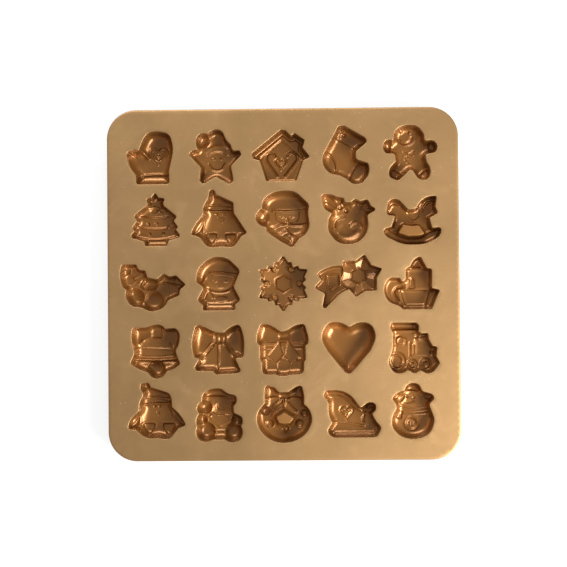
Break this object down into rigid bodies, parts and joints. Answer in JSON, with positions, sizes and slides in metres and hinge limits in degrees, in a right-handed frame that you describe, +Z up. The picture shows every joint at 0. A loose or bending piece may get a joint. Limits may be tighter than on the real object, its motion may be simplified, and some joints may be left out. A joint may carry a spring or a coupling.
{
  "type": "chocolate mould",
  "caption": "Square flexible mould whose flat sheet carries rows of deep festive shaped pockets for casting small chocolates.",
  "frame": {"origin": "under the centre of the square sheet, in the plane of the pocket bottoms that the mould stands on", "axes": "+Z up, out of the open pockets; +Y towards the row of the mitten, house and biscuit figure; +X towards the column of the train and snowman"},
  "size_m": [0.21, 0.21, 0.012],
  "materials": {
    "silicone": "satin, brown-gold with a slight pearl sheen"
  },
  "bodies": {
    "root": {"mitten_cell": "silicone", "star_cell": "silicone", "house_cell": "silicone", "stocking_cell": "silicone", "gingerbread_cell": "silicone", "tree_cell": "silicone", "penguin_cell": "silicone", "bearded_man_cell": "silicone", "bauble_cell": "silicone", "rocking_horse_cell": "silicone", "holly_cell": "silicone", "hatted_child_cell": "silicone", "snowflake_cell": "silicone", "comet_cell": "silicone", "candle_cell": "silicone", "bell_cell": "silicone", "bow_cell": "silicone", "gift_cell": "silicone", "heart_cell": "silicone", "train_cell": "silicone", "penguin_chick_cell": "silicone", "teddy_cell": "silicone", "wreath_cell": "silicone", "sleigh_cell": "silicone", "snowman_cell": "silicone"}
  },
  "joints": []
}
